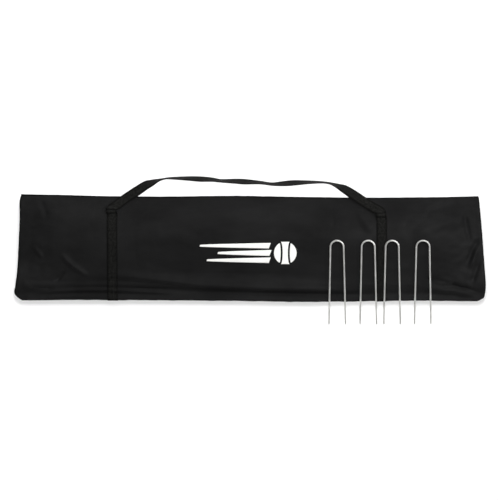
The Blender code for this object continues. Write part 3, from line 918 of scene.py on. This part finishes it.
# The handle's stations: (x, y, lift off the cloth, height, yaw, pitch). Where lift is None the height
# counts, and where both are None it stands on the floor. Yaw and pitch, in degrees, point from its
# inner to its outer edge.
HANDLE = (
    (-0.3216, 0.0745, 0.0011, None, 180.0, 0.0),
    (-0.3218, 0.0800, 0.0018, None, 180.0, 0.0),
    (-0.3228, 0.0830, 0.0050, None, 183.0, 0.0),
    (-0.3242, 0.0863, 0.0080, None, 186.0, 0.0),
    (-0.3244, 0.0893, 0.0050, None, 182.0, -1.0),
    (-0.3230, 0.0928, 0.0080, None, 174.0, -4.0),
    (-0.3182, 0.0966, 0.0048, None, 162.0, -10.0),
    (-0.3090, 0.1032, 0.0040, None, 141.0, -19.0),
    (-0.2917, 0.1163, 0.0042, None, 130.0, -24.0),
    (-0.2710, 0.1300, None, 0.0275, 125.0, -22.0),
    (-0.2437, 0.1480, None, 0.0225, 121.0, -34.0),
    (-0.2296, 0.1538, None, 0.0180, 114.0, -53.0),
    (-0.2155, 0.1596, None, 0.0145, 108.0, -73.0),
    (-0.2014, 0.1632, None, None, 100.0, -81.5),
    (-0.1873, 0.1646, None, None, 92.0, -78.5),
    (-0.1450, 0.1641, None, None, 90.0, -66.0),
    (-0.1168, 0.1627, None, None, 86.0, -60.0),
    (-0.0886, 0.1613, None, None, 86.0, -67.0),
    (-0.0674, 0.1586, None, None, 86.0, -71.4),
    (-0.0322, 0.1576, None, None, 87.0, -62.0),
    (-0.0110, 0.1564, None, None, 86.0, -60.0),
    (0.0242, 0.1545, None, None, 84.0, -71.4),
    (0.0524, 0.1509, None, None, 88.0, -72.5),
    (0.0806, 0.1521, None, None, 93.0, -62.0),
    (0.1018, 0.1537, None, None, 92.0, -59.5),
    (0.1370, 0.1552, None, None, 90.0, -70.4),
    (0.1652, 0.1552, None, None, 90.0, -77.5),
    (0.1793, 0.1542, None, None, 84.0, -79.5),
    (0.1934, 0.1512, None, 0.0150, 75.0, -75.5),
    (0.2075, 0.1455, None, 0.0185, 67.0, -61.0),
    (0.2216, 0.1390, None, 0.0225, 64.0, -40.0),
    (0.2400, 0.1275, None, 0.0275, 58.0, -27.0),
    (0.2698, 0.1074, 0.0045, None, 57.0, -24.0),
    (0.2905, 0.0946, 0.0042, None, 52.0, -20.0),
    (0.3010, 0.0888, 0.0050, None, 26.0, -9.0),
    (0.3054, 0.0850, 0.0072, None, 8.0, -3.0),
    (0.3064, 0.0812, 0.0050, None, 2.0, -1.0),
    (0.3070, 0.0776, 0.0074, None, 0.0, 0.0),
    (0.3074, 0.0742, 0.0050, None, 0.0, 0.0),
    (0.3076, 0.0712, 0.0018, None, 0.0, 0.0),
    (0.3078, 0.0655, 0.0011, None, 0.0, 0.0),
)
HANDLE_STEPS = 8
HANDLE_ACROSS = 9


def handle():
    """The loose webbing loop, as a ribbon through its stations."""
    stations = []
    for x, y, lift, height, yaw, pitch in HANDLE:
        if lift is not None:
            height = cloth_at(x, y) + lift + 0.5 * WEB
        elif height is None:
            height = WEB_HALF * abs(sin(radians(pitch))) + 0.5 * WEB + 0.0004
        stations.append((x, y, height, yaw, pitch))
    places = np.arange(len(stations))
    count = HANDLE_STEPS * (len(stations) - 1) + 1
    shares = np.linspace(0.0, len(stations) - 1.0, count)
    x, y, z, yaw, pitch = (flow(list(zip(places, column)), shares) for column in zip(*stations))
    yaw, pitch = np.radians(yaw), np.radians(pitch)
    edge = np.stack([np.cos(pitch) * np.cos(yaw), np.cos(pitch) * np.sin(yaw), np.sin(pitch)], axis=-1)
    z = np.maximum(z, WEB_HALF * np.abs(edge[:, 2]) + 0.5 * WEB + 0.0003)
    middle = np.stack([x, y, z], axis=-1)
    ahead = np.gradient(middle, axis=0)
    spans = np.linalg.norm(ahead, axis=1)
    off = np.cross(ahead / spans[:, None], edge)
    half = WEB_HALF * np.clip(1.0 / np.linalg.norm(off, axis=1), 1.0, 1.3)
    along = np.cumsum(spans)
    rows, lengths = [], []
    for k in range(HANDLE_ACROSS):
        v = 2.0 * k / (HANDLE_ACROSS - 1) - 1.0
        cup = 0.0008 * (1.0 - v * v) * np.sin(along / 0.085)
        rows.append(middle + edge * half[:, None] * v + off * cup[:, None])
        lengths.append(np.stack([along, np.full(along.shape, WEB_HALF * v)], axis=-1))
    points = np.array(rows).transpose(1, 0, 2)
    strap = grid_piece("handle_webbing", points, WEBBING_LOOK, lengths=np.array(lengths).transpose(1, 0, 2))
    thicken(strap, WEB, 0.0)
    round_edges(strap, 0.0004)
    for modifier in list(strap.modifiers):
        apply_modifier(strap, modifier.name)
    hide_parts("carry_strap")
    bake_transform(strap)


def apply_modifier(piece, name):
    bpy.context.view_layer.objects.active = piece
    with bpy.context.temp_override(object=piece, active_object=piece, selected_objects=[piece]):
        bpy.ops.object.modifier_apply(modifier=name)


# ---------------------------------------------------------------- the printed mark

MARK_CENTRE = (-0.005, -0.011)
MARK_LIFT = 0.00018


def patch(place, rows, columns):
    """Points and faces of a patch of print. place(u, v) gives x and y about the mark's centre."""
    v, u = np.meshgrid(np.linspace(0.0, 1.0, columns), np.linspace(0.0, 1.0, rows))
    x, y = place(u, v)
    x, y = x + MARK_CENTRE[0], y + MARK_CENTRE[1]
    z = cloth_height(x, y) + MARK_LIFT
    return np.stack([x, y, z], axis=-1).reshape(-1, 3), quads(rows, columns)


def printed_mark():
    """A ball with two curved seams, and three stripes behind it."""
    centre, radius, seam, bow = 0.088, 0.0265, 0.0045, 0.0130

    def ball_edge(y):
        return np.sqrt(np.clip(radius * radius - y * y, 0.0, None))

    def seam_at(side, y):
        return side * (bow - 0.175 * ball_edge(y))

    def ball_part(low_x, high_x, reach):
        def place(u, v):
            y = reach * (2.0 * u - 1.0)
            low, high = low_x(y), high_x(y)
            return centre + low + (high - low) * v, y

        return place

    inner = radius * 0.985
    parts = [
        ball_part(lambda y: seam_at(-1.0, y) + 0.5 * seam, lambda y: seam_at(1.0, y) - 0.5 * seam, inner),
        ball_part(lambda y: -ball_edge(y), lambda y: seam_at(-1.0, y) - 0.5 * seam, inner * 0.86),
        ball_part(lambda y: seam_at(1.0, y) + 0.5 * seam, ball_edge, inner * 0.86),
    ]
    shapes = [(place, 26, 18) for place in parts]
    stripes = ((0.0170, -0.112, 0.0130), (0.0000, -0.070, 0.0140), (-0.0170, -0.096, 0.0130))
    for height, tail, width in stripes:

        def stripe(u, v, height=height, tail=tail, width=width):
            nose = centre - radius - 0.008 - 0.10 * abs(height)
            half = 0.5 * width * (0.30 + 0.70 * v**0.7)
            y = height + half * (2.0 * u - 1.0)
            return tail + (nose - tail) * v + 0.35 * (y - height), y

        shapes.append((stripe, 7, 80))
    points, faces, first = [], [], 0
    for place, rows, columns in shapes:
        some, made = patch(place, rows, columns)
        points.append(some)
        faces.append(made + first)
        first += len(some)
    mark = mesh_piece("printed_mark", np.concatenate(points), np.concatenate(faces), PRINT_LOOK)
    thicken(mark, 0.0001, 1.0)
    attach(mark, "bag")


# ---------------------------------------------------------------- pegs


def swept(points, radii, sides):
    """Points and faces of a round bar that follows points in a plane, closed at both ends."""
    points = np.asarray(points, float)
    ahead = np.gradient(points, axis=0)
    ahead /= np.linalg.norm(ahead, axis=1)[:, None]
    plane = np.cross(points[-1] - points[0], points[len(points) // 2] - points[0])
    plane /= np.linalg.norm(plane)
    across = np.cross(ahead, plane)
    rings = []
    for k in range(sides):
        angle = 2.0 * pi * k / sides
        rings.append(points + (across * cos(angle) + plane * sin(angle)) * np.asarray(radii)[:, None])
    return np.array(rings).transpose(1, 0, 2).reshape(-1, 3), tube_faces(0, len(points), sides)


WIRE = 0.0020
PEG_LEAN = 0.0022


def peg(number):
    """A bent wire peg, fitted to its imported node: tips at the low end, its bend at the high end."""
    node = f"ground_peg_{number}"
    low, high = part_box(node)
    middle = 0.5 * (low.x + high.x)
    half_tip = 0.5 * (high.x - low.x) - WIRE
    half_top = half_tip - 0.0041
    rise = high.z - 2.0 * WIRE * 0.96
    run = high.y - low.y - WIRE * 0.30
    length = np.hypot(run, rise)
    direction = Vector((0.0, run, rise)) / length
    shoulder = length - WIRE - half_top
    flat = [(-half_tip, 0.0), (-half_tip + 0.0001, 0.0008)]
    for share in np.linspace(0.04, 0.96, 24):
        flat.append((-half_tip + (half_tip - half_top) * share, shoulder * share))
    for angle in np.linspace(pi, 0.0, 25):
        flat.append((half_top * cos(angle), shoulder + half_top * sin(angle)))
    flat += [(-x, y) for x, y in reversed(flat[:26])]
    start = Vector((middle, low.y + WIRE * 0.28, low.z + WIRE * 0.96))
    points = [start + Vector((x - PEG_LEAN * y / length, 0.0, 0.0)) + direction * y for x, y in flat]
    radii = [WIRE] * len(points)
    radii[0] = radii[-1] = WIRE * 0.72
    made, faces = swept(points, radii, 20)
    bar = mesh_piece(f"peg_wire_{number}", made, faces, ZINC_LOOK)
    face_outwards(bar)
    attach(bar, f"peg_{number}")
    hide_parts(node)


# ---------------------------------------------------------------- the zip


def zip_coil():
    """Two rows of coil loops that mesh on the zip's middle line."""
    pitch, wire, sides = 0.00145, 0.00042, 6
    middle = 0.5 * (COIL_LOW.z + COIL_HIGH.z)
    reach = 0.5 * (COIL_HIGH.z - COIL_LOW.z)
    depth = ZIP_FACE + 0.5 * (COIL_HIGH.y - ZIP_FACE)
    ring = ((-0.20, 0.80, 0.55), (0.05, 1.25, 0.75), (0.55, 1.0, 0.60), (1.0, 0.85, -0.10))
    points, faces = [], []
    for side, shift in ((-1.0, 0.0), (1.0, 0.5)):
        for i in range(int((COIL_HIGH.x - COIL_LOW.x) / pitch) - 1):
            x = COIL_LOW.x + (i + 0.5 + shift) * pitch
            first = len(points)
            for share, scale, out in ring:
                hub = (x + 0.25 * pitch * share, depth + out * wire, middle + side * reach * share * 0.93)
                for k in range(sides):
                    angle = 2.0 * pi * k / sides
                    radius = wire * scale
                    points.append((hub[0] + radius * cos(angle), hub[1] + radius * sin(angle), hub[2]))
            faces += tube_faces(first, len(ring), sides)
    coil = mesh_piece("coil_teeth", points, faces, COIL_LOOK)
    face_outwards(coil)
    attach(coil, "bag")
    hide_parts("zip_coil")


def zip_stop(name, node):
    """A pressed metal stop: a block over the coil's end with three small crimps."""
    low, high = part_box(node)
    size = high - low
    middle = 0.5 * (low + high)
    back = blob((size.x, 0.6 * size.y, size.z), (middle.x, low.y + 0.3 * size.y, middle.z))
    crimps = [
        blob((0.20 * size.x, size.y, 0.92 * size.z), (middle.x + share * size.x, middle.y, middle.z))
        for share in (-0.32, 0.0, 0.32)
    ]
    stop = join(name, [back, *crimps], BLACK_METAL_LOOK, 0.0003)
    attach(stop, "bag")
    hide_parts(node)


def plate(outline, thickness, holes=()):
    """A flat plate in the XZ plane from an outline of (x, z), with round holes, as a mesh."""
    curve = bpy.data.curves.new("plate", "CURVE")
    curve.dimensions = "2D"
    curve.fill_mode = "BOTH"
    curve.extrude = 0.5 * thickness
    rings = [list(outline)]
    for x, z, radius in holes:
        rings.append([(x + radius * cos(a), z + radius * sin(a)) for a in np.linspace(0, 2 * pi, 17)[:-1]])
    for ring in rings:
        spline = curve.splines.new("POLY")
        spline.points.add(len(ring) - 1)
        for point, (x, z) in zip(spline.points, ring):
            point.co = (x, z, 0.0, 1.0)
        spline.use_cyclic_u = True
    holder = bpy.data.objects.new("plate", curve)
    bpy.context.scene.collection.objects.link(holder)
    mesh = bpy.data.meshes.new_from_object(holder.evaluated_get(bpy.context.evaluated_depsgraph_get()))
    bpy.data.objects.remove(holder)
    bm = bmesh.new()
    bm.from_mesh(mesh)
    bmesh.ops.remove_doubles(bm, verts=bm.verts, dist=0.000005)
    for vertex in bm.verts:
        vertex.co = Vector((vertex.co.x, -vertex.co.z, vertex.co.y))
    bmesh.ops.recalc_face_normals(bm, faces=bm.faces)
    return bm


def blob(size, centre):
    """A block of a size about a centre, as a bmesh."""
    bm = bmesh.new()
    bmesh.ops.create_cube(bm, size=1.0)
    for vertex in bm.verts:
        vertex.co = Vector(centre) + Vector(vertex.co[i] * size[i] for i in range(3))
    return bm


def join(name, parts, material, bevel):
    """One piece from several solids."""
    whole = bmesh.new()
    for part in parts:
        mesh = bpy.data.meshes.new("part")
        part.to_mesh(mesh)
        part.free()
        whole.from_mesh(mesh)
    mesh = bpy.data.meshes.new(name)
    whole.to_mesh(mesh)
    whole.free()
    mesh.materials.append(material)
    mesh.shade_smooth()
    piece = bpy.data.objects.new(name, mesh)
    bpy.context.scene.collection.objects.link(piece)
    return round_edges(piece, bevel)


def arc(centre, radius, start, end, count):
    """Points along an arc, its angles in degrees."""
    angles = np.radians(np.linspace(start, end, count))
    return [(centre[0] + radius * cos(a), centre[1] + radius * sin(a)) for a in angles]


def zip_slider():
    """The slider's shield, its two flanges over the coil, and the ears that hold the puller."""
    low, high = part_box("zip_slider")
    puller_low, puller_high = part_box("zip_puller")
    middle_x, middle_z = 0.5 * (low.x + high.x), 0.5 * (low.z + high.z)
    half_x, half_z = 0.5 * (high.x - low.x), 0.5 * (high.z - low.z)
    face = COIL_HIGH.y + 0.0003
    waist = 0.80 * half_z
    outline = arc((-0.45 * half_x, 0.0), 0.55 * half_x, 250, 110, 7)
    outline += [(0.0, waist), (0.70 * half_x, half_z), (half_x, 0.86 * half_z)]
    outline += [(half_x, -0.86 * half_z), (0.70 * half_x, -half_z), (0.0, -waist)]
    shield = plate(outline, 0.0011)
    shield.transform(Matrix.Translation((middle_x, face + 0.00055, middle_z)))
    parts = [shield]
    coil_half = 0.5 * (COIL_HIGH.z - COIL_LOW.z) + 0.0003
    for side in (-1.0, 1.0):
        depth = face - ZIP_FACE
        thick = half_z - coil_half - 0.0004
        flange_z = middle_z + side * (coil_half + 0.5 * thick)
        centre = (middle_x + 0.0008, ZIP_FACE + 0.5 * depth + 0.0003, flange_z)
        parts.append(blob((1.45 * half_x, depth, thick), centre))
        ear = arc((0.0, 0.0), 0.0011, 0, 180, 7) + [(-0.0013, -0.0014), (0.0013, -0.0014)]
        lug = plate(ear, 0.0011)
        turned = Matrix.Rotation(0.5 * pi, 4, "X")
        lug.transform(turned)
        gap = 0.5 * (puller_high.z - puller_low.z) + 0.0003 + 0.0006
        spot = (puller_low.x + 0.0006, 0.5 * (puller_low.y + puller_high.y), middle_z + side * gap)
        lug.transform(Matrix.Translation(spot))
        parts.append(lug)
    slider = join("slider_casting", parts, BLACK_METAL_LOOK, 0.00022)
    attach(slider, "slider")
    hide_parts("zip_slider")


def zip_puller():
    """A tapered tab with a hole, a raised rim and its hinge bar."""
    low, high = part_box("zip_puller")
    half = 0.5 * (high.z - low.z)
    pivot_x, middle_z = low.x + 0.0006, 0.5 * (low.z + high.z)
    pivot_y = 0.5 * (low.y + high.y)
    length = high.x - pivot_x
    neck = 0.62 * half
    outline = [(-0.0005, -half), (0.0006, -half), (0.0030, -neck), (0.0060, -0.74 * half)]
    outline += arc((length - 0.86 * half, 0.0), 0.86 * half, -75, 75, 9)
    outline += [(0.0060, 0.74 * half), (0.0030, neck), (0.0006, half), (-0.0005, half)]
    tab = plate(outline, high.y - low.y - 0.0002, holes=((length - 0.0030, 0.0, 0.0011),))
    tab.transform(Matrix.Translation((pivot_x, pivot_y, middle_z)))
    ridge = plate(arc((0.0095, 0.0), 0.0016, 0, 360, 13)[:-1], high.y - low.y + 0.0002)
    ridge.transform(Matrix.Translation((pivot_x, pivot_y, middle_z)))
    puller = join("puller_tab", [tab, ridge], BLACK_METAL_LOOK, 0.00018)
    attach(puller, "puller")
    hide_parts("zip_puller")


# ---------------------------------------------------------------- what the bag holds


def folded_net():
    """The net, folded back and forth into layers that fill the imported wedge."""
    low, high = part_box("net_pack")
    tree = BVHTree.FromObject(NODES["net_pack"], bpy.context.evaluated_depsgraph_get())
    spots = np.linspace(low.y + 0.001, high.y - 0.001, 60)
    roof = np.array([tree.ray_cast(Vector((0.0, y, 1.0)), DOWN)[0].z for y in spots])
    gap, sway = 0.0032, 0.00036
    route = []
    for layer in range(int((high.z - low.z) / gap)):
        z = low.z + (layer + 0.5) * gap
        room = spots[roof > z + 0.4 * gap]
        if len(room) < 8:
            break
        run = np.linspace(room[0] + 0.002, room[-1] - 0.002, 26)
        if layer % 2:
            run = run[::-1]
        route += [(y, z) for y in run]
    route = np.array(route)
    x = np.linspace(low.x + 0.002, high.x - 0.002, 60)
    rows = []
    for i, (y, z) in enumerate(route):
        rows.append(np.stack([x, np.full(x.shape, y), z + sway * np.sin(x * 55.0 + 0.9 * i)], axis=-1))
    net = thicken(grid_piece("folded_net", np.array(rows), NETTING_LOOK), 0.0009, 0.0)
    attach(net, "bag")
    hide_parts("net_pack")


def dress(prefix, look):
    """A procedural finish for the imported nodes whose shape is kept."""
    for name, node in NODES.items():
        if name.startswith(prefix):
            node.data.materials.clear()
            node.data.materials.append(look)


# ---------------------------------------------------------------- stage


def area_light(name, place, target, size, power):
    """A rectangular lamp at a place, turned to a target."""
    data = bpy.data.lights.new(name, "AREA")
    data.shape = "RECTANGLE"
    data.size, data.size_y = size
    data.energy = power
    light = bpy.data.objects.new(name, data)
    light.location = place
    light.rotation_mode = "QUATERNION"
    light.rotation_quaternion = (Vector(target) - Vector(place)).to_track_quat("-Z", "Y")
    bpy.context.scene.collection.objects.link(light)
    return light


def linked(name, pieces):
    """A collection that light linking can point to."""
    group = bpy.data.collections.new(name)
    for piece in pieces:
        group.objects.link(piece)
    return group


FLOOR_HALF = 6.0
FLOOR_LIGHT = 2.0
# The world's strength, bright near the horizon and dim overhead
SKY = {"From Min": 0.05, "From Max": 0.40, "To Min": 0.95, "To Max": 0.12}


def studio():
    """A white floor with its own unshadowed lamp, and soft lamps on the pieces.

    The key light, from the handle's side, also lights the floor. The handle casts no shadow in it.
    """
    reach, depth = FLOOR_HALF, -0.0004
    spots = [(x * reach, y * reach, depth) for x, y in ((-1, -1), (1, -1), (1, 1), (-1, 1))]
    floor = mesh_piece("studio_floor", spots, [(0, 1, 2, 3)], floor_look())
    world = bpy.data.worlds.new("studio")
    world.use_nodes = True
    nodes, links = world.node_tree.nodes, world.node_tree.links
    around = nodes.new("ShaderNodeTexCoord")
    split = nodes.new("ShaderNodeSeparateXYZ")
    links.new(around.outputs["Generated"], split.inputs[0])
    shade = nodes.new("ShaderNodeMapRange")
    for socket, value in SKY.items():
        shade.inputs[socket].default_value = value
    links.new(split.outputs["Z"], shade.inputs["Value"])
    links.new(shade.outputs["Result"], nodes["Background"].inputs["Strength"])
    nodes["Background"].inputs["Color"].default_value = (1.0, 1.0, 1.0, 1.0)
    bpy.context.scene.world = world
    pieces = [piece for piece in bpy.data.objects if piece.type == "MESH" and piece != floor]
    bag_only = linked("bag_only", pieces)
    floor_only = linked("floor_only", [floor])
    overhead = area_light("overhead", (1.4, 0.0, 4.5), (0.3, 0.0, 0.0), (3.0, 2.4), 124.0)
    overhead.light_linking.receiver_collection = bag_only
    floor_light = bpy.data.objects.new("floor_light", bpy.data.lights.new("floor_light", "SUN"))
    floor_light.data.energy = FLOOR_LIGHT
    bpy.context.scene.collection.objects.link(floor_light)
    floor_light.light_linking.receiver_collection = floor_only
    floor_light.light_linking.blocker_collection = floor_only
    side = area_light("side", (2.6, 0.5, 1.9), (0.2, 0.0, 0.0), (1.0, 1.6), 36.0)
    side.light_linking.receiver_collection = bag_only
    key = area_light("key", (0.1, 2.0, 2.3), (0.0, 0.0, 0.0), (1.6, 1.6), 74.0)
    key.visible_glossy = False
    standing = [piece for piece in pieces if piece.name != "handle_webbing"]
    key.light_linking.blocker_collection = linked("key_shadows", standing)
    bpy.context.scene.view_settings.view_transform = "Standard"


VIEW_WIDTH = 1.175
VIEW_CENTRE = (0.0005, -0.0040)
CAMERA_HEIGHT = 8.0
FOCUS_HEIGHT = 0.015


def camera():
    """Straight down on the bag, which fills most of the frame's width."""
    data = bpy.data.cameras.new("camera")
    data.sensor_width = 36.0
    data.lens = data.sensor_width * CAMERA_HEIGHT / VIEW_WIDTH
    data.clip_end = 50.0
    made = bpy.data.objects.new("camera", data)
    made.location = (*VIEW_CENTRE, CAMERA_HEIGHT + FOCUS_HEIGHT)
    bpy.context.scene.collection.objects.link(made)
    bpy.context.scene.camera = made


camera()
front_panel()
back_panel()
bottom_gusset()
end_gusset("left_side", "left_end_gusset", -1.0)
end_gusset("right_side", "right_end_gusset", 1.0)
lip_binding()
end_piping("left_piping", left_edge, -1.0)
end_piping("right_piping", right_edge, 1.0)
webbing_band("left", (0.0020,))
webbing_band("right", ())
handle()
printed_mark()
for number in range(1, 5):
    peg(number)
zip_coil()
zip_stop("left_stop", "zip_stop_left")
zip_stop("right_stop", "zip_stop_right")
zip_slider()
zip_puller()
folded_net()
dress("zip_tape", TAPE_LOOK)
dress("frame_tube", POWDER_LOOK)
dress("corner_fitting", MOULDED_LOOK)
dress("net_tie", TIE_LOOK)
studio()
